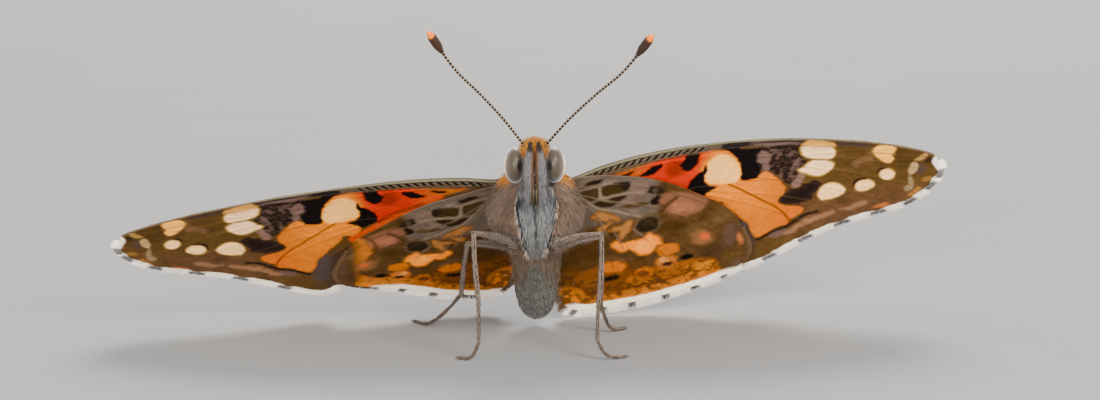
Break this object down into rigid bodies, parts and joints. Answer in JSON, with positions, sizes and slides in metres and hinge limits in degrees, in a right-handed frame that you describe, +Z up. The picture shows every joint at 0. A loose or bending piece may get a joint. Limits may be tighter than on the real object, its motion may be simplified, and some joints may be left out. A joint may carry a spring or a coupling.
{
  "type": "painted lady butterfly",
  "caption": "Still life-size painted lady butterfly, standing with its wings held open, feelers raised and forelegs folded on the chest.",
  "frame": {"origin": "on the floor, under the middle of the whole figure's box", "axes": "+X to the insect's left wing tip, -Y the way it faces, +Z up"},
  "size_m": [0.0622, 0.0272, 0.0251],
  "materials": {
    "head_coat": "hairy, matte",
    "body_coat": "hairy, matte",
    "eye": "smooth, slightly wet look",
    "palp_hair": "hairy, matte",
    "dark_cuticle": "satin",
    "leg_scales": "finely scaled, matte",
    "forewing_scales": "scaled, matte with a slight sheen",
    "hindwing_scales": "scaled, matte with a slight sheen"
  },
  "bodies": {
    "root": {"head": "head_coat", "thorax": "body_coat", "abdomen": "body_coat", "proboscis": "dark_cuticle", "eye_left": "eye", "eye_right": "eye", "palp_left": "palp_hair", "palp_right": "palp_hair", "antenna_left": "dark_cuticle", "antenna_right": "dark_cuticle", "forewing_left": "forewing_scales", "forewing_right": "forewing_scales", "hindwing_left": "hindwing_scales", "hindwing_right": "hindwing_scales", "leg_fore_left": "palp_hair", "leg_fore_right": "palp_hair", "leg_mid_left": "leg_scales", "leg_mid_right": "leg_scales", "leg_hind_left": "leg_scales", "leg_hind_right": "leg_scales"}
  },
  "joints": []
}
